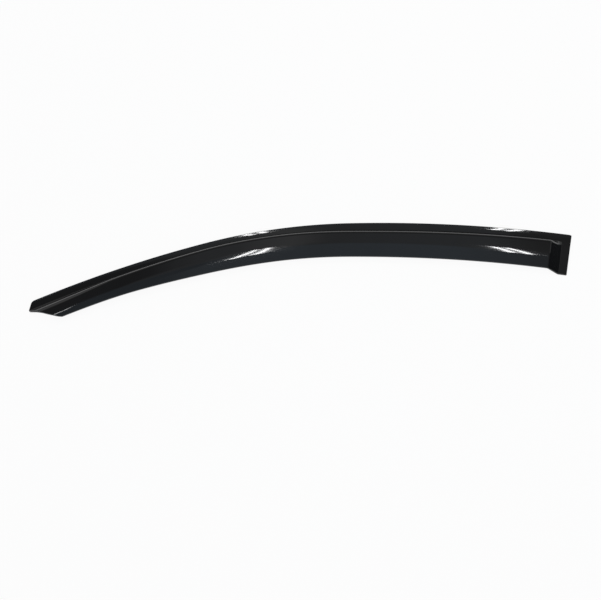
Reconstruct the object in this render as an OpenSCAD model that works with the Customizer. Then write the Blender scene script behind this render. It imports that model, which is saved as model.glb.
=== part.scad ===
// Window rain deflector for a left-hand front door, lying on its back.
// One moulded sheet carries a flat flange, which is taped to the door frame above
// the glass, a raised blade that throws the rain clear, and an end foot.
// The origin is on the adhesive side at the crest of the arch. X runs back along
// the door, Y points up to the roof, and Z points away from the car.
// Stations are lengths along the outer edge, counted from the crest: tip negative.

/* [Sheet] */
// Thickness of the moulded sheet
sheet_t = 3; // [2.2:0.1:3.6]
// Radius that softens every cut edge of the sheet
edge_r = 0.8; // [0.3:0.1:1]

/* [Arch of the outer edge] */
// Length of the stretch along the windscreen pillar
pillar_len = 300; // [220:5:380]
// Radius of the stretch along the windscreen pillar
pillar_r = 1810; // [1200:10:4000]
// Length of the bend from the pillar to the roof rail
bend_len = 257; // [180:1:300]
// Radius of the bend from the pillar to the roof rail
bend_r = 915; // [700:5:1600]
// Length of the roof rail stretch in front of the crest
rail_front = 55; // [20:1:120]
// Length of the roof rail stretch behind the crest
rail_back = 331; // [240:1:420]
// Radius of the roof rail stretch
rail_r = 2120; // [1400:10:5000]

/* [Width from the outer edge to the free edge] */
// Width at the tip
width_tip = 54.8; // [53.6:0.1:62]
// Width where the pillar meets the bend
width_bend = 67; // [62:0.1:78]
// Width at the middle of the bend
width_mid = 70.7; // [66:0.1:82]
// Width at the crest
width_crest = 74.9; // [70:0.1:88]
// Width of the blade where it meets the foot
width_foot = 79.2; // [74:0.1:92]
// Extra width that the foot gains as the end wall comes down
foot_flare = 3; // [0:0.1:4]

/* [Flange] */
// Flat width of the flange at the tip
flange_tip = 14.4; // [10.4:0.1:16.5]
// Flat width of the flange where the pillar meets the bend
flange_bend = 10.3; // [9.8:0.1:14]
// Flat width of the flange at the middle of the bend
flange_mid = 11.8; // [10.4:0.1:16]
// Flat width of the flange at the crest
flange_crest = 15.8; // [10.4:0.1:19]
// Flat width of the flange at the foot
flange_foot = 14; // [10.4:0.1:18]
// Width of the outer lip that curls up from the flange
lip_w = 4; // [2:0.1:4.1]
// Height that the outer lip rises above the flange
lip_h = 0.65; // [0:0.05:1]

/* [Blade] */
// Rise of the blade above the flange at the tip
rise_tip = 11; // [9:0.5:13]
// Rise of the blade above the flange along the rest of its length
rise_rail = 14.5; // [12:0.5:18]
// Slope of the riser at the tip, in degrees
riser_slope_tip = 41; // [36:1:48]
// Slope of the riser along the rest of its length, in degrees
riser_slope_rail = 56; // [50:1:60]
// Radius of the crease between flange and riser
crease_r = 2; // [1.5:0.5:4]
// Radius of the shoulder on top of the riser at the tip
shoulder_r_tip = 20; // [14:0.5:24]
// Radius of the shoulder on top of the riser along the rest of its length
shoulder_r_rail = 9; // [6:0.5:14]
// Length at the tip along which the riser keeps its shape
riser_hold = 20; // [0:5:50]
// Length behind that over which the riser grows to its full shape
riser_blend = 130; // [80:5:240]
// Distance from the outer edge to the crown line at the tip
crown_tip = 46.6; // [43:0.1:47]
// Distance from the outer edge to the crown line where the pillar meets the bend
crown_bend = 47.5; // [44:0.5:54]
// Distance from the outer edge to the crown line at the middle of the bend
crown_mid = 49; // [46:0.5:56]
// Distance from the outer edge to the crown line at the crest
crown_crest = 52; // [49:0.5:60]
// Distance from the outer edge to the crown line at the foot
crown_foot = 56.5; // [50:0.5:62]
// Width of the crown over which the blade turns down
crown_band = 10.5; // [7:0.5:11.5]
// Fall of the brim between the crown and the free edge, in degrees
brim_slope = 15; // [8:0.5:22]

/* [Tip] */
// Length by which the nose runs out past the corner of the outer edge
nose_len = 9.5; // [4:0.1:14]
// Set-back of the lower cut of the tip for each unit of width
tip_rake = 1.1; // [0.7:0.05:1.4]
// Amount by which the lower cut of the tip bows outward at its middle
tip_bow = 2.4; // [0:0.1:4]
// Width of the rounded heel where the lower cut meets the free edge
heel_w = 5; // [2:0.5:7]
// Radius of the tip's outer corner
tip_corner_r = 4; // [1:0.5:6]

/* [Foot] */
// Flat width of the foot behind the end wall
foot_w = 14; // [11:0.1:24]
// Slope of the end wall, in degrees
wall_slope = 35; // [30:1:50]
// Radius at the bottom of the end wall
wall_low_r = 3; // [2:0.5:6]
// Radius at the top of the end wall
wall_high_r = 9; // [5:0.5:12]
// Set-back of the foot's end for each unit of width
foot_rake = 0.115; // [0:0.005:0.2]
// Radius of the foot's outer corner
foot_corner_r = 3; // [1:0.5:4]

/* [Adhesive tape and its release film] */
// Width of the foam tape under the flange
tape_w = 5.6; // [4:0.1:5.8]
// Thickness of the foam tape
tape_t = 1.1; // [0.6:0.1:1.6]
// Thickness of the release film on the tape
film_t = 0.15; // [0.1:0.05:0.3]
// Bare length of flange left before the tape at the tip
tape_tip_gap = 14; // [10:1:40]
// Bare length of flange left behind the tape at the foot
tape_foot_gap = 6; // [4:1:20]
// Width of the foam tape under the foot
foot_tape_w = 8; // [5:0.5:9]
// Gap between the flange's tape and the foot's tape
foot_tape_gap = 4; // [2:0.5:10]
// Bare width left at the free end of the foot
foot_tape_end = 6; // [4:0.5:12]

/* [Hidden] */

// Heights of the layers, from the surface that the part lies on
tape_z = film_t;
back_z = tape_z + tape_t;
flange_z = back_z + sheet_t;

// Stations of the two ends and of the joints between the arcs
bend_station = -rail_front - bend_len;
tip_station = bend_station - pillar_len;
foot_station = rail_back;
stations = [tip_station, bend_station, bend_station + bend_len / 2, 0, foot_station];
wall_base = foot_station - foot_w;

// The tape lies just inside the lip, and its middle passes through the origin
tape_in = lip_w;
tape_out = lip_w + tape_w;
crest = [0, (tape_in + tape_out) / 2, 0];

// Number of steps in the lip, crease, shoulder and crown across the sheet
lip_steps = 3;
crease_steps = 4;
shoulder_steps = 7;
crown_steps = 5;
// Spacing of the sections along the blade and through the end wall
section_gap = 22;
wall_gap = 1.6;
// Smallest step used to find the direction of the surface
tiny = 0.02;
// Share of the edge radius at which the rounding gets its middle point
edge_mid = 0.3;

// Point and heading after a walk of length s along an arc from a start
function along(start, s, r) =
    let (a = start[2] - s / r * 180 / PI)
    [start[0] + r * (sin(start[2]) - sin(a)), start[1] + r * (cos(a) - cos(start[2])), a];

rail_end = along(crest, -rail_front, rail_r);
bend_end = along(rail_end, -bend_len, bend_r);

// Point and heading of the outer edge at station s
function arch(s) =
    s > -rail_front ? along(crest, s, rail_r)
    : s > bend_station ? along(rail_end, s + rail_front, bend_r)
    : along(bend_end, s - bend_station, pillar_r);

// Curve from a to b as t runs from 0 to 1, with slopes da and db at its ends
function cubic(t, a, b, da, db) =
    a * (1 + t * t * (2 * t - 3)) + b * t * t * (3 - 2 * t) + t * (1 - t) * (da * (1 - t) - db * t);

// Smooth curve through one value at each of the five stations
function trend(v, i) =
    let (lo = max(0, i - 1), hi = min(4, i + 1))
    i == 0 ? 0 : (v[hi] - v[lo]) / (stations[hi] - stations[lo]);
function varies(v, s) =
    let (
        i = s < stations[1] ? 0 : s < stations[2] ? 1 : s < stations[3] ? 2 : 3,
        span = stations[i + 1] - stations[i],
        t = min(1, max(0, (s - stations[i]) / span))
    )
    cubic(t, v[i], v[i + 1], trend(v, i) * span, trend(v, i + 1) * span);

function blade_width(s) = varies([width_tip, width_bend, width_mid, width_crest, width_foot], s);
function flange(s) = varies([flange_tip, flange_bend, flange_mid, flange_crest, flange_foot], s);
function crown(s) = varies([crown_tip, crown_bend, crown_mid, crown_crest, crown_foot], s);

// Value that grows from its tip value to its rail value behind the tip
function grows(a, b, s) =
    cubic(min(1, max(0, (s - tip_station - riser_hold) / riser_blend)), a, b, 0, 0);
function rise(s) = grows(rise_tip, rise_rail, s);
function riser_slope(s) = grows(riser_slope_tip, riser_slope_rail, s);
function shoulder_r(s) = grows(shoulder_r_tip, shoulder_r_rail, s);

// A step of height h with a fillet at its foot and a rounded shoulder
function step_run(h, slope, r_low, r_high) = h / tan(slope) + (r_low + r_high) * tan(slope / 2);
function step_up(d, h, slope, r_low, r_high) =
    let (run = step_run(h, slope, r_low, r_high), low = r_low * sin(slope))
    d <= 0 ? 0
    : d < low ? r_low - sqrt(r_low * r_low - d * d)
    : d < run - r_high * sin(slope) ? r_low * (1 - cos(slope)) + (d - low) * tan(slope)
    : d < run ? h - r_high + sqrt(r_high * r_high - (run - d) * (run - d))
    : h;

// A slope that starts gently over a band and then runs straight
function turn_down(x, band) =
    x < -band / 2 ? 0 : x < band / 2 ? (x + band / 2) * (x + band / 2) / (2 * band) : x;

// Height of the sheet's outer face at station s and distance w from the outer edge
function riser_height(s, w) =
    step_up(w - flange(s), rise(s), riser_slope(s), crease_r, shoulder_r(s));
function brim_fall(s, w) = tan(brim_slope) * turn_down(w - crown(s), crown_band);
function wall_share(s) =
    step_up(wall_base - s, rise(s), wall_slope, wall_low_r, wall_high_r) / rise(s);
function width(s) = blade_width(s) + foot_flare * (1 - wall_share(s));
function lip_height(w) = w < lip_w ? lip_h * pow((lip_w - w) / lip_w, 2) : 0;
function height(s, w) =
    flange_z + lip_height(w) + wall_share(s) * (riser_height(s, w) - brim_fall(s, w));

// How far a corner of radius r holds the end back at distance d from the edge
function corner(d, r) = let (x = min(r, max(0, r - d))) r - sqrt(r * r - x * x);

// Shape of the two ends across the width, as an offset along the arch
function heel(w) = pow(max(0, w - width_tip + heel_w), 2) / (2 * heel_w);
function lower_cut(x) =
    let (t = x / (width_tip - flange_tip)) tip_rake * x - 4 * tip_bow * t * (1 - t) - nose_len;
function tip_end(w) =
    corner(w, tip_corner_r) + heel(w)
    + (w < flange_tip ? -nose_len * w / flange_tip : lower_cut(w - flange_tip));
function foot_end(w) = -corner(w, foot_corner_r) - foot_rake * w;

// Sections fan round from the raked tip to the foot
function fan(s, w) =
    let (t = (s - tip_station) / (foot_station - tip_station))
    s + tip_end(w) * pow(1 - t, 3) + foot_end(w) * pow(t, 3);

// Point at distance w inward from the outer edge at station s
function beside(s, w) = let (p = arch(s)) [p[0] + w * sin(p[2]), p[1] - w * cos(p[2])];

// Point on the outer face, and the way that it faces
function face(s, w) = concat(beside(fan(s, w), w), height(s, w));
function facing(s, w) =
    let (n = cross(face(s, w - tiny) - face(s, w + tiny), face(s - tiny, w) - face(s + tiny, w)))
    n / norm(n);

// Depth of the rounded cut edge at distance d from the edge
function edge_drop(d) = d < edge_r ? edge_r - sqrt(edge_r * edge_r - pow(edge_r - d, 2)) : 0;

// Stations of the sections, close together at the ends and through the end wall
wall_run = step_run(rise_rail, wall_slope, wall_low_r, wall_high_r);
wall_start = wall_base - wall_run;
blade_steps = ceil((wall_start - tip_station) / section_gap);
wall_steps = ceil(wall_run / wall_gap);
sections = concat(
    [tip_station, tip_station + edge_mid * edge_r],
    [for (i = [0 : blade_steps - 1])
        tip_station + edge_r + (wall_start - tip_station - edge_r) * i / blade_steps],
    [for (i = [0 : wall_steps]) wall_start + wall_run * i / wall_steps],
    [foot_station - foot_corner_r, foot_station - edge_r, foot_station - edge_mid * edge_r, foot_station]
);

// Distances from the outer edge at which a section at station s has its points
function columns(s) =
    let (
        slope = riser_slope(s),
        run = step_run(rise(s), slope, crease_r, shoulder_r(s)),
        brim = crown(s) + crown_band / 2
    )
    concat(
        [0, edge_mid * edge_r, edge_r],
        [for (i = [1 : lip_steps]) edge_r + (lip_w - edge_r) * i / lip_steps],
        [for (i = [0 : crease_steps]) flange(s) + crease_r * sin(slope * i / crease_steps)],
        [for (i = [shoulder_steps : -1 : 0])
            flange(s) + run - shoulder_r(s) * sin(slope * i / shoulder_steps)],
        [for (i = [0 : crown_steps]) brim - crown_band * (1 - i / crown_steps)],
        [(brim + width(s)) / 2, width(s) - edge_r, width(s) - edge_mid * edge_r, width(s)]
    );

// One skin of the sheet: the outer face, or the back at the sheet's thickness
function skin(depth) = [
    for (s = sections)
        let (ws = columns(s), end = min(s - tip_station, foot_station - s))
        for (w = ws)
            let (
                drop = edge_drop(min(end, w, ws[len(ws) - 1] - w)),
                sink = depth == 0 ? drop : depth - drop
            )
            face(s, w) - sink * facing(s, w)
];

rows = len(sections);
cols = len(columns(0));
sheet = rows * cols;

// Faces of a grid skin, and the rim that joins two skins round their border
function skin_faces(base, flip) = [
    for (i = [0 : rows - 2], j = [0 : cols - 2])
        let (
            a = base + i * cols + j,
            ring = flip ? [a, a + cols, a + cols + 1, a + 1] : [a, a + 1, a + cols + 1, a + cols]
        )
        each [[ring[0], ring[1], ring[2]], [ring[0], ring[2], ring[3]]]
];
border = concat(
    [for (j = [0 : cols - 1]) j],
    [for (i = [1 : rows - 1]) i * cols + cols - 1],
    [for (j = [cols - 2 : -1 : 0]) (rows - 1) * cols + j],
    [for (i = [rows - 2 : -1 : 1]) i * cols]
);
rim_faces = [
    for (k = [0 : len(border) - 1])
        let (a = border[k], b = border[(k + 1) % len(border)])
        each [[a, b, b + sheet], [a, b + sheet, a + sheet]]
];

// The moulded sheet, in dark smoked acrylic
module shield() {
    color([0.07, 0.075, 0.085])
        polyhedron(
            points = concat(skin(0), skin(sheet_t)),
            faces = concat(skin_faces(0, true), skin_faces(sheet, false), rim_faces),
            convexity = 6
        );
}

// A layer under the flange: a strip that follows the outer edge from tip to foot
tape_from = tip_station + tape_tip_gap;
tape_to = foot_station - tape_foot_gap;
tape_steps = ceil((tape_to - tape_from) / section_gap);
tape_run = [for (i = [0 : tape_steps]) tape_from + (tape_to - tape_from) * i / tape_steps];
module rail_layer(z, t) {
    upper = [for (s = tape_run) beside(s, tape_in)];
    lower = [for (i = [tape_steps : -1 : 0]) beside(tape_run[i], tape_out)];
    translate([0, 0, z])
        linear_extrude(t)
            polygon(concat(upper, lower));
}

// A layer under the foot: a straight strip along the middle of its flat
module foot_layer(z, t) {
    middle = foot_station - foot_w / 2;
    top = face(middle, tape_out + foot_tape_gap);
    low = face(middle, width(middle) - foot_tape_end);
    way = low - top;
    translate([top[0], top[1], z])
        rotate(atan2(way[1], way[0]))
            translate([0, -foot_tape_w / 2, 0])
                cube([norm(way), foot_tape_w, t]);
}

// Foam tape along the flange
module tape_rail() {
    color([0.16, 0.16, 0.17]) rail_layer(tape_z, tape_t);
}

// Release film on the flange's tape
module film_rail() {
    color([0.72, 0.08, 0.07]) rail_layer(0, film_t);
}

// Foam tape under the foot
module tape_foot() {
    color([0.16, 0.16, 0.17]) foot_layer(tape_z, tape_t);
}

// Release film on the foot's tape
module film_foot() {
    color([0.72, 0.08, 0.07]) foot_layer(0, film_t);
}

shield();
tape_rail();
film_rail();
tape_foot();
film_foot();
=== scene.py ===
# %% [markdown]
# A rain deflector is a thin sheet of dark smoked acrylic that is heated, pressed to
# shape and taped above a side window. It has hardly any detail of its own: nearly all
# that one sees is gloss, so its form shows only in how lamps and room bend across it.
# The work is therefore to make one very smooth sheet, and a room worth reflecting.
#
# The measured solids come first. They are the fixed frame that everything else fits.

# %% Load the measured part
import math
import bmesh
import bpy
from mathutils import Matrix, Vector


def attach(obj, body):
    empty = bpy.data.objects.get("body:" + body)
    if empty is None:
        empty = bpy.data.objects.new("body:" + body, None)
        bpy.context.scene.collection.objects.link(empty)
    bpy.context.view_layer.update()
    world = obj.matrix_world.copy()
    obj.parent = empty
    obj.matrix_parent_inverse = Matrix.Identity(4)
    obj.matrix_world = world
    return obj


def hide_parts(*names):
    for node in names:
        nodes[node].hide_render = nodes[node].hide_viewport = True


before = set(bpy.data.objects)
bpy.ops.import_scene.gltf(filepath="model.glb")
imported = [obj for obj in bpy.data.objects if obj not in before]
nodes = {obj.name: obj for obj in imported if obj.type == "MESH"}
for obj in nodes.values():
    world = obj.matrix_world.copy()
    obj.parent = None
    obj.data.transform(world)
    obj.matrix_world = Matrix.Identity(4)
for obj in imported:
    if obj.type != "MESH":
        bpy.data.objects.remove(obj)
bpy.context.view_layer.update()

MM = 0.001
CM2 = 0.0001


def in_mm(points):
    return [round(v / MM, 1) for point in points for v in point]


print("solids", sorted(nodes))

# %% [markdown]
# The camera looks down at the table at about sixty degrees. The photograph doesn't
# settle its lens: several pairs of focal length and tilt fit the outline about equally
# well, and this is one of them. The focal length is given in pixels of the picture's
# width, because that is how a view is measured from a photograph.

# %% Camera
PICTURE_W = 601
FOCAL_PX = 800
SENSOR_MM = 36
LOOK_AT = Vector((-140.3, -144.9, 0)) * MM
CAMERA_DISTANCE = 1328.3 * MM
CAMERA_TILT = math.radians(29)

camera_data = bpy.data.cameras.new("camera")
camera_data.sensor_width = SENSOR_MM
camera_data.lens = SENSOR_MM * FOCAL_PX / PICTURE_W
camera_data.clip_start = 0.05
camera = bpy.data.objects.new("camera", camera_data)
bpy.context.scene.collection.objects.link(camera)
back = Vector((0, -math.sin(CAMERA_TILT), math.cos(CAMERA_TILT)))
camera.location = LOOK_AT + back * CAMERA_DISTANCE
camera.rotation_euler = (CAMERA_TILT, 0, 0)
bpy.context.scene.camera = camera
bpy.context.scene.view_settings.view_transform = "Standard"
print("lens in mm", round(camera_data.lens, 2))

# %% [markdown]
# The sheet is drawn from the same sizes as the solid. Its outer edge is a chain of
# three arcs: the windscreen pillar, a tighter bend, and the roof rail. A walk along
# that chain gives a place and a heading for any length along the edge, counted from
# the crest, where the edge runs level. All sizes are in millimetres.

# %% Outer edge
PILLAR_LEN, PILLAR_R = 300, 1810
BEND_LEN, BEND_R = 257, 915
RAIL_FRONT, RAIL_BACK, RAIL_R = 55, 331, 2120
LIP_W, LIP_H = 4.0, 0.65
TAPE_W = 5.6
BEND_AT = -RAIL_FRONT - BEND_LEN
TIP_AT = BEND_AT - PILLAR_LEN
FOOT_AT = RAIL_BACK


def walk(start, length, radius):
    x, y, heading = start
    turned = heading - length / radius
    return (
        x + radius * (math.sin(heading) - math.sin(turned)),
        y + radius * (math.cos(turned) - math.cos(heading)),
        turned,
    )


CREST = (0.0, LIP_W + TAPE_W / 2, 0.0)
RAIL_END = walk(CREST, -RAIL_FRONT, RAIL_R)
BEND_END = walk(RAIL_END, -BEND_LEN, BEND_R)


def outer_edge(s):
    if s > -RAIL_FRONT:
        return walk(CREST, s, RAIL_R)
    if s > BEND_AT:
        return walk(RAIL_END, s + RAIL_FRONT, BEND_R)
    return walk(BEND_END, s - BEND_AT, PILLAR_R)


print("tip", [round(v, 1) for v in outer_edge(TIP_AT)])
print("foot", [round(v, 1) for v in outer_edge(FOOT_AT)])

# %% [markdown]
# The section changes along the part: it is narrow at the tip and wide at the foot.
# Each width is given at five stations, and a smooth curve runs through the five, so
# that no kink shows in a reflection. The riser is softer at the tip and reaches its
# full height a hand's width behind it.

# %% Sizes along the part
STATIONS = [TIP_AT, BEND_AT, BEND_AT + BEND_LEN / 2, 0, FOOT_AT]
WIDTHS = [54.8, 67.0, 70.7, 74.9, 79.2]
FOOT_FLARE = 3.0
FLANGES = [14.4, 10.3, 11.8, 15.8, 14.0]
CROWNS = [46.6, 47.5, 49.0, 52.0, 56.5]
RISER_HOLD, RISER_BLEND = 20, 130


def cubic(t, a, b, slope_a, slope_b):
    rise = t * t * (3 - 2 * t)
    return a * (1 - rise) + b * rise + t * (1 - t) * (slope_a * (1 - t) - slope_b * t)


def trend(values, i):
    if i == 0:
        return 0
    low, high = i - 1, min(len(STATIONS) - 1, i + 1)
    return (values[high] - values[low]) / (STATIONS[high] - STATIONS[low])


def varies(values, s):
    i = sum(s >= station for station in STATIONS[1:-1])
    span = STATIONS[i + 1] - STATIONS[i]
    t = min(1, max(0, (s - STATIONS[i]) / span))
    slopes = trend(values, i) * span, trend(values, i + 1) * span
    return cubic(t, values[i], values[i + 1], *slopes)


def grows(at_tip, at_rail, s):
    t = (s - TIP_AT - RISER_HOLD) / RISER_BLEND
    return cubic(min(1, max(0, t)), at_tip, at_rail, 0, 0)


print("width at the crest in mm", varies(WIDTHS, 0))

# %% [markdown]
# Across the sheet the face climbs a step: a concave crease, a straight riser and a
# rounded shoulder. Then comes a level shelf, and a crown turns it down to the free
# edge. The same kind of step, run along the part instead of across it, ends the blade
# at the foot, so one function serves both. The outer edge curls up by a few tenths of
# a millimetre. The face lets that curl fade out over more of the flange than the solid
# has it, because the lamps show in it as broad streaks.

# %% Face of the sheet
SHEET_T = 3.0
FACE_Z = 4.25
CROWN_BAND = 10.5
BRIM_SLOPE = math.tan(math.radians(15))
LIP_CURL = 7.2
FOOT_W = 14.0
WALL_SLOPE = math.radians(35)
WALL_LOW_R, WALL_HIGH_R = 3.0, 9.0
RISE_TIP, RISE_RAIL = 11.0, 14.5
RISER_DEG_TIP, RISER_DEG_RAIL = 41, 56
CREASE_R = 2.0
SHOULDER_R_TIP, SHOULDER_R_RAIL = 20.0, 9.0
SHELF_MIDDLE = 50


def step_run(h, slope, r_low, r_high):
    return h / math.tan(slope) + (r_low + r_high) * math.tan(slope / 2)


def step_up(d, h, slope, r_low, r_high):
    run = step_run(h, slope, r_low, r_high)
    low = r_low * math.sin(slope)
    if d <= 0:
        return 0
    if d < low:
        return r_low - math.sqrt(r_low * r_low - d * d)
    if d < run - r_high * math.sin(slope):
        return r_low * (1 - math.cos(slope)) + (d - low) * math.tan(slope)
    if d < run:
        return h - r_high + math.sqrt(r_high * r_high - (run - d) ** 2)
    return h


def riser(s):
    slope = math.radians(grows(RISER_DEG_TIP, RISER_DEG_RAIL, s))
    shoulder = grows(SHOULDER_R_TIP, SHOULDER_R_RAIL, s)
    return grows(RISE_TIP, RISE_RAIL, s), slope, CREASE_R, shoulder


def brim_fall(s, w):
    x = w - varies(CROWNS, s)
    if x < -CROWN_BAND / 2:
        return 0
    if x < CROWN_BAND / 2:
        return BRIM_SLOPE * (x + CROWN_BAND / 2) ** 2 / (2 * CROWN_BAND)
    return BRIM_SLOPE * x


def wall_share(s):
    h = riser(s)[0]
    return step_up(FOOT_AT - FOOT_W - s, h, WALL_SLOPE, WALL_LOW_R, WALL_HIGH_R) / h


def width(s):
    return varies(WIDTHS, s) + FOOT_FLARE * (1 - wall_share(s))


def height(s, w):
    lip = LIP_H * max(0, 1 - w / LIP_CURL) ** 2
    blade = step_up(w - varies(FLANGES, s), *riser(s)) - brim_fall(s, w)
    return FACE_Z + lip + blade * wall_share(s)


crest_free_edge = varies(WIDTHS, 0)
print("shelf height in mm", height(0, SHELF_MIDDLE))
print("free edge in mm", round(height(0, crest_free_edge), 2))

# %% [markdown]
# The tip is cut back at a rake, with a small nose at the flange and a rounded heel at
# the free edge, and the foot's end is cut nearly square. Sections near each end lean
# over to meet the cut, like the ribs of a fan, and stand square again further in.

# %% The two ends
NOSE_LEN, TIP_RAKE, TIP_BOW = 9.5, 1.1, 2.4
HEEL_W, TIP_CORNER_R = 5.0, 4.0
FOOT_RAKE, FOOT_CORNER_R = 0.115, 3.0
LEAN_FADE = 3


def corner(d, r):
    x = min(r, max(0, r - d))
    return r - math.sqrt(r * r - x * x)


def bow(t, depth):
    return 4 * depth * t * (1 - t)  # as deep as depth, half way along


def tip_end(w):
    heel = max(0, w - WIDTHS[0] + HEEL_W) ** 2 / (2 * HEEL_W)
    x = w - FLANGES[0]
    t = x / (WIDTHS[0] - FLANGES[0])
    cut = TIP_RAKE * x - bow(t, TIP_BOW) - NOSE_LEN
    return corner(w, TIP_CORNER_R) + heel + (cut if x > 0 else -NOSE_LEN * w / FLANGES[0])


def foot_end(w):
    return -corner(w, FOOT_CORNER_R) - FOOT_RAKE * w


def face_point(s, w):
    t = (s - TIP_AT) / (FOOT_AT - TIP_AT)
    lean = tip_end(w) * (1 - t) ** LEAN_FADE + foot_end(w) * t**LEAN_FADE
    x, y, heading = outer_edge(s + lean)
    return Vector((x + w * math.sin(heading), y - w * math.cos(heading), height(s, w))) * MM


print("nose", in_mm([face_point(TIP_AT, FLANGES[0])]))

# %% [markdown]
# A flat grid is laid over these functions and each of its points is moved to its
# place. The grid's lines aren't spread evenly: they crowd into the lip, the crease,
# the shoulder and the crown, and into the end wall, where the face turns, and are
# sparse where it is flat. Solidify then gives the sheet its 3 mm, and Bevel softens
# the cut edges as a polisher would.

# %% Sheet of acrylic
ROWS, COLS = 330, 84
EDGE_CELL = 1.3
EDGE_R = 0.8
WALL_LEAD, WALL_TAIL = 4, 1
STATION_SHARES = [1, 270, 48, 10, 1]
DISTANCE_SHARES = [1, 9, 4, 34, 8, 18, 9, 1]


def spread(t, marks, shares):
    total = sum(shares)
    at = 0
    for low, high, share in zip(marks, marks[1:], shares):
        part = share / total
        if t <= at + part or high == marks[-1]:
            return low + (high - low) * min(1, (t - at) / part)
        at += part


def station_at(t):
    run = step_run(RISE_RAIL, WALL_SLOPE, WALL_LOW_R, WALL_HIGH_R)
    base = FOOT_AT - FOOT_W
    marks = [TIP_AT, TIP_AT + 2 * EDGE_CELL, base - run - WALL_LEAD, base + WALL_TAIL]
    marks += [FOOT_AT - EDGE_CELL, FOOT_AT]
    return spread(t, marks, STATION_SHARES)


def distance_at(t, s):
    flange, crown, free_edge = varies(FLANGES, s), varies(CROWNS, s), width(s)
    run = step_run(*riser(s))
    marks = [0, EDGE_CELL, LIP_CURL, flange, flange + run]
    marks += [crown - CROWN_BAND / 2, crown + CROWN_BAND / 2]
    marks += [free_edge - EDGE_CELL, free_edge]
    return spread(t, marks, DISTANCE_SHARES)


def grid_sheet(name, columns_at, rows_at, rows, cols):
    sheet = bmesh.new()
    bmesh.ops.create_grid(sheet, x_segments=rows, y_segments=cols, size=0.5)
    for v in sheet.verts:
        s = rows_at(v.co.x + 0.5)
        v.co = face_point(s, columns_at(0.5 - v.co.y, s))
    mesh = bpy.data.meshes.new(name)
    sheet.to_mesh(mesh)
    sheet.free()
    mesh.polygons.foreach_set("use_smooth", [True] * len(mesh.polygons))
    piece = bpy.data.objects.new(name, mesh)
    bpy.context.scene.collection.objects.link(piece)
    return piece


shield = grid_sheet("acrylic_shield", distance_at, station_at, ROWS, COLS)
thicken = shield.modifiers.new("sheet_thickness", "SOLIDIFY")
thicken.thickness = SHEET_T * MM
thicken.offset = -1
thicken.use_even_offset = True
soften = shield.modifiers.new("polished_edges", "BEVEL")
soften.width = EDGE_R * MM
soften.segments = 3
soften.limit_method = "ANGLE"
soften.angle_limit = math.radians(50)
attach(shield, "root")
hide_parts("shield")
face_area = sum(face.area for face in shield.data.polygons)
print("grid faces", len(shield.data.polygons))
print("face area in cm2", round(face_area / CM2, 1))

# %% [markdown]
# Each finish is a small tree of nodes. These helpers start one, hand back its shader
# and let a noise drive the tone, the gloss or the relief, so that the cells below only
# say what is special to each material.

# %% Parts of a material


def new_finish(name):
    finish = bpy.data.materials.new(name)
    finish.use_nodes = True
    tree = finish.node_tree
    return finish, tree, tree.nodes["Principled BSDF"]


def add_node(tree, kind, **settings):
    made = tree.nodes.new(kind)
    for key, value in settings.items():
        if hasattr(made, key):
            setattr(made, key, value)
        else:
            made.inputs[key.replace("_", " ")].default_value = value
    return made


def arithmetic(tree, operation, *terms):
    step = add_node(tree, "ShaderNodeMath", operation=operation)
    for socket, term in zip(step.inputs, terms):
        if isinstance(term, float):
            socket.default_value = term
        else:
            tree.links.new(term, socket)
    return step.outputs["Value"]


def noise_on_object(tree, stretch, scale, detail):
    place = add_node(tree, "ShaderNodeTexCoord")
    mapping = add_node(tree, "ShaderNodeMapping")
    mapping.inputs["Scale"].default_value = stretch
    noise = add_node(tree, "ShaderNodeTexNoise", Scale=scale, Detail=detail)
    tree.links.new(place.outputs["Object"], mapping.inputs["Vector"])
    tree.links.new(mapping.outputs["Vector"], noise.inputs["Vector"])
    return noise.outputs["Fac"]


def vary_gloss(tree, shader, noise, **limits):
    gloss = add_node(tree, "ShaderNodeMapRange", **limits)
    tree.links.new(noise, gloss.inputs["Value"])
    tree.links.new(gloss.outputs["Result"], shader.inputs["Roughness"])


def vary_tone(tree, shader, noise, dark, pale):
    tone = add_node(tree, "ShaderNodeValToRGB")
    for key, colour in zip(tone.color_ramp.elements, (dark, pale)):
        key.color = (*colour, 1)
    tree.links.new(noise, tone.inputs["Fac"])
    tree.links.new(tone.outputs["Color"], shader.inputs["Base Color"])


def vary_relief(tree, shader, noise, strength, distance):
    bump = add_node(tree, "ShaderNodeBump", Strength=strength, Distance=distance)
    tree.links.new(noise, bump.inputs["Height"])
    tree.links.new(bump.outputs["Normal"], shader.inputs["Normal"])


# %% [markdown]
# Smoked acrylic this dark lets so little light through that a lying part looks black.
# What is left is a hard, clear gloss. The pressed sheet is never quite flat: slow
# ripples along its length break up the edges of a reflected lamp, and a faint haze
# from handling changes the gloss from place to place.

# %% Smoked acrylic
EVEN = (1, 1, 1)
ALONG_X = (0.25, 1, 1)
ACRYLIC_IOR = 1.49


def smoked_acrylic():
    finish, tree, shader = new_finish("smoked_acrylic")
    shader.inputs["IOR"].default_value = ACRYLIC_IOR
    haze = noise_on_object(tree, EVEN, 28, 3)
    vary_gloss(tree, shader, haze, From_Min=0.3, From_Max=0.75, To_Min=0.050, To_Max=0.062)
    vary_tone(tree, shader, haze, (0.0022, 0.0022, 0.0024), (0.0040, 0.0042, 0.0048))
    ripple = noise_on_object(tree, ALONG_X, 16, 0)
    vary_relief(tree, shader, ripple, strength=1.0, distance=0.00005)
    return finish


shield.data.materials.append(smoked_acrylic())
print("finish", shield.data.materials[0].name)

# %% [markdown]
# The tape is closed-cell foam, dull and finely pitted. Its release film is a thin
# coloured plastic with a slight sheen, a little uneven where it has been rolled on.

# %% Foam tape and release film
FOAM_ROUGHNESS = 0.9


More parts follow.
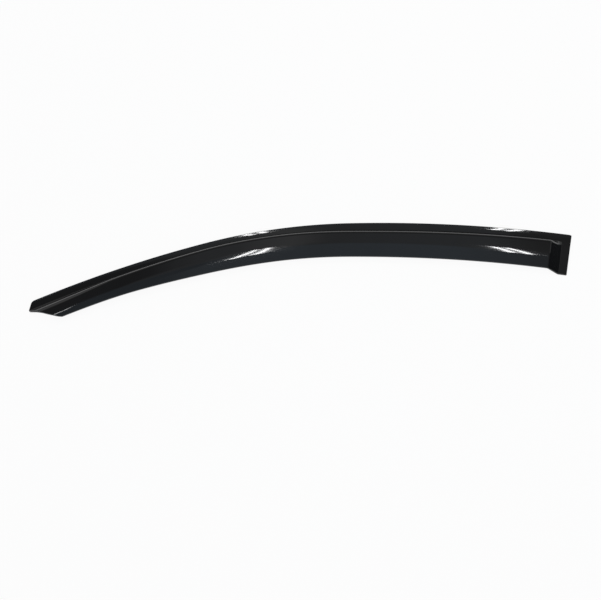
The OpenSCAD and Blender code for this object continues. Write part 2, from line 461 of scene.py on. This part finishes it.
def foam_tape():
    finish, tree, shader = new_finish("foam_tape")
    shader.inputs["Roughness"].default_value = FOAM_ROUGHNESS
    cells = noise_on_object(tree, EVEN, 2400, 2)
    vary_tone(tree, shader, cells, (0.018, 0.018, 0.019), (0.045, 0.045, 0.047))
    vary_relief(tree, shader, cells, strength=0.6, distance=0.0002)
    return finish


def release_film():
    finish, tree, shader = new_finish("release_film")
    rolled = noise_on_object(tree, EVEN, 260, 2)
    vary_gloss(tree, shader, rolled, To_Min=0.28, To_Max=0.5)
    vary_tone(tree, shader, rolled, (0.40, 0.012, 0.010), (0.56, 0.022, 0.018))
    vary_relief(tree, shader, rolled, strength=0.4, distance=0.0001)
    return finish


def dress(node, finish):
    mesh = nodes[node].data
    mesh.materials.clear()
    mesh.materials.append(finish)


foam = foam_tape()
film = release_film()
for place in ("rail", "foot"):
    dress("tape_" + place, foam)
    dress("film_" + place, film)
print("dressed", foam.name, film.name)

# %% [markdown]
# The table is white and fills the picture. The camera sees it as nearly plain white,
# dimmed a little where the part shades it, and so do reflections, while the light that
# it throws back on the part stays that of a white table under these lamps.

# %% Table
TABLE_SIZE = 3.2
TABLE_WHITE = 0.8
TABLE_ROUGHNESS = 0.7
PLAIN_SHARE = 0.92


def table_top():
    finish, tree, shader = new_finish("table_top")
    shader.inputs["Base Color"].default_value = (TABLE_WHITE, TABLE_WHITE, TABLE_WHITE, 1)
    shader.inputs["Roughness"].default_value = TABLE_ROUGHNESS
    glow = add_node(tree, "ShaderNodeEmission", Strength=1.0)
    seen = add_node(tree, "ShaderNodeLightPath").outputs
    direct = arithmetic(tree, "MAXIMUM", seen["Is Camera Ray"], seen["Is Glossy Ray"])
    plain = arithmetic(tree, "MAXIMUM", direct, seen["Is Transmission Ray"])
    mix = add_node(tree, "ShaderNodeMixShader")
    tree.links.new(arithmetic(tree, "MULTIPLY", plain, PLAIN_SHARE), mix.inputs["Fac"])
    tree.links.new(shader.outputs["BSDF"], mix.inputs[1])
    tree.links.new(glow.outputs["Emission"], mix.inputs[2])
    output = tree.nodes["Material Output"]
    tree.links.new(mix.outputs["Shader"], output.inputs["Surface"])
    return finish


floor_mesh = bpy.data.meshes.new("table")
plane = bmesh.new()
bmesh.ops.create_grid(plane, x_segments=1, y_segments=1, size=TABLE_SIZE / 2)
bmesh.ops.translate(plane, verts=plane.verts, vec=(LOOK_AT.x, LOOK_AT.y, 0))
plane.to_mesh(floor_mesh)
plane.free()
floor = bpy.data.objects.new("table", floor_mesh)
floor_mesh.materials.append(table_top())
bpy.context.scene.collection.objects.link(floor)
print("table in m", TABLE_SIZE)

# %% [markdown]
# Two long ceiling fixtures hang two metres above the table and run away from the
# camera, each with two bright tubes side by side. Black gloss shows a lamp only where
# it tilts just enough to mirror it. Here that is the crown, so each fixture becomes a
# slanting white streak with a darker line between its tubes. A small spotlight on the
# left, kept to a narrow cone, draws the fine line along the crown at the tip.
#
# For each fixture the table below gives its place and a tube's size in metres, its
# turn in degrees, the tubes' distance from each other in metres and a tube's watts.

# %% Ceiling lamps
LAMP_HEIGHT = 2.0
FIXTURES = {
    "fixture_left": ((-0.223, 0.52), (0.018, 0.90), 7.1, 0.052, 2.3),
    "fixture_right": ((0.719, 0.675), (0.026, 0.91), -5.2, 0.064, 3.0),
}
SPOT_PLACE = Vector((-0.925, 0.295, 2.0))
SPOT_AIM = Vector((-0.570, -0.215, 0.015))
SPOT_RADIUS = 0.045
SPOT_CONE = math.radians(4.8)
SPOT_BLEND = 0.5
SPOT_POWER = 0.9
for name, (place, size, turn, apart, power) in FIXTURES.items():
    angle = math.radians(turn)
    for tube, step in (("near", -apart / 2), ("far", apart / 2)):
        lamp = bpy.data.lights.new(name + "_" + tube, "AREA")
        lamp.shape = "RECTANGLE"
        lamp.size, lamp.size_y = size
        lamp.energy = power
        placed = bpy.data.objects.new(lamp.name, lamp)
        x = place[0] + step * math.cos(angle)
        y = place[1] + step * math.sin(angle)
        placed.location = (x, y, LAMP_HEIGHT)
        placed.rotation_euler.z = angle
        bpy.context.scene.collection.objects.link(placed)

spot = bpy.data.lights.new("spotlight", "SPOT")
spot.shadow_soft_size = SPOT_RADIUS
spot.spot_size = SPOT_CONE
spot.spot_blend = SPOT_BLEND
spot.energy = SPOT_POWER
aimed = bpy.data.objects.new("spotlight", spot)
aimed.location = SPOT_PLACE
aimed.rotation_euler = (SPOT_AIM - SPOT_PLACE).to_track_quat("-Z", "Y").to_euler()
bpy.context.scene.collection.objects.link(aimed)
print("lamps", 1 + 2 * len(FIXTURES))

# %% [markdown]
# The rest of the room is what black gloss shows most, and it is painted on the world
# in zones. The ceiling is pale and a little blue, and the brim mirrors it. The flat
# flange and shelf mirror the top of the far wall, which is darkest on the left and
# brightest near the middle. Low down the walls are mid grey, paler to the left and to
# the right, and a dark doorway at the right is what the end wall mirrors. Behind the
# camera the windows are bright. They don't show in this view, but they bring the light
# on the part up to a plain level, so that its colour holds from other sides too.
#
# A ramp's stops are its place, its level and how blue it is. An edge between two zones
# is given as the two values between which one fades into the other.

# %% Room
LEFT_EDGE, RIGHT_EDGE = (-0.37, -0.49), (0.40, 0.50)
WALL_TOP_EDGE, CEILING_EDGE = (0.775, 0.81), (0.91, 0.97)
DOOR_SIDE_EDGE, DOOR_BACK_EDGE = (0.50, 0.62), (-0.13, -0.07)
DOOR_LEAN = 0.44
WINDOW_EDGE = (0.20, 0.45)
RAMP_MIDDLE = 0.5
MIX_FIRST, MIX_SECOND, MIX_RESULT = 6, 7, 2

world = bpy.data.worlds.new("room")
world.use_nodes = True
bpy.context.scene.world = world
room = world.node_tree
sky = room.nodes["Background"]
view = add_node(room, "ShaderNodeTexCoord")
axes = add_node(room, "ShaderNodeSeparateXYZ")
room.links.new(view.outputs["Generated"], axes.inputs["Vector"])


def grey_ramp(source, stops):
    ramp = add_node(room, "ShaderNodeValToRGB")
    keys = ramp.color_ramp.elements
    while len(keys) < len(stops):
        keys.new(RAMP_MIDDLE)
    for key, (at, level, blue) in zip(keys, stops):
        key.position = at
        key.color = (level * (1 - blue), level, level * (1 + blue), 1)
    room.links.new(source, ramp.inputs["Fac"])
    return ramp.outputs["Color"]


def past(source, edge):
    part = add_node(room, "ShaderNodeMapRange", interpolation_type="SMOOTHSTEP")
    part.inputs["From Min"].default_value, part.inputs["From Max"].default_value = edge
    room.links.new(source, part.inputs["Value"])
    return part.outputs["Result"]


def mix_by(factor, first, second):
    mix = add_node(room, "ShaderNodeMix", data_type="RGBA")
    room.links.new(factor, mix.inputs[0])
    room.links.new(first, mix.inputs[MIX_FIRST])
    room.links.new(second, mix.inputs[MIX_SECOND])
    return mix.outputs[MIX_RESULT]


across, upward = axes.outputs["X"], axes.outputs["Z"]
side = arithmetic(room, "ADD", across, RAMP_MIDDLE)
toward_camera = arithmetic(room, "MULTIPLY", axes.outputs["Y"], -1.0)
beside_door = arithmetic(room, "MULTIPLY_ADD", across, DOOR_LEAN, toward_camera)

low_walls = grey_ramp(upward, [
    (0.00, 0.30, 0), (0.12, 0.35, 0), (0.30, 0.45, 0),
    (0.40, 0.40, 0), (0.48, 0.20, 0), (0.53, 0.16, 0),
])
left_walls = grey_ramp(upward, [
    (0.00, 0.35, 0), (0.12, 0.42, 0), (0.35, 0.60, 0),
    (0.57, 0.85, 0), (0.64, 0.45, 0), (0.69, 0.16, 0),
])
right_walls = grey_ramp(upward, [
    (0.00, 0.45, 0), (0.15, 0.55, 0), (0.70, 0.55, 0), (0.78, 0.30, 0),
])
far_wall = grey_ramp(side, [
    (0.17, 0.15, 0.02), (0.31, 0.16, 0.02), (0.34, 0.28, 0.03), (0.37, 0.38, 0.04),
    (0.42, 0.40, 0.04), (0.46, 0.56, 0.02), (0.49, 0.60, 0.01), (0.515, 0.48, 0.01),
    (0.535, 0.36, 0.03), (0.60, 0.38, 0.05), (0.73, 0.40, 0.05), (0.77, 0.25, 0.00),
])
ceiling = grey_ramp(side, [
    (0.495, 0.34, 0.15), (0.52, 0.49, 0.14), (0.66, 0.55, 0.15),
    (0.69, 0.48, 0.13), (0.72, 0.36, 0.09),
])
doorway = grey_ramp(upward, [(0.0, 0.05, 0.05), (1.0, 0.05, 0.05)])
windows = grey_ramp(upward, [(0.0, 1.8, 0.02), (1.0, 1.8, 0.02)])
doorway_zone = arithmetic(
    room, "MULTIPLY", past(across, DOOR_SIDE_EDGE), past(beside_door, DOOR_BACK_EDGE)
)

tones = mix_by(past(across, LEFT_EDGE), low_walls, left_walls)
tones = mix_by(past(across, RIGHT_EDGE), tones, right_walls)
tones = mix_by(past(upward, WALL_TOP_EDGE), tones, far_wall)
tones = mix_by(past(upward, CEILING_EDGE), tones, ceiling)
tones = mix_by(doorway_zone, tones, doorway)
tones = mix_by(past(toward_camera, WINDOW_EDGE), tones, windows)
room.links.new(tones, sky.inputs["Color"])
sky.inputs["Strength"].default_value = 1.0
print("room nodes", len(room.nodes))
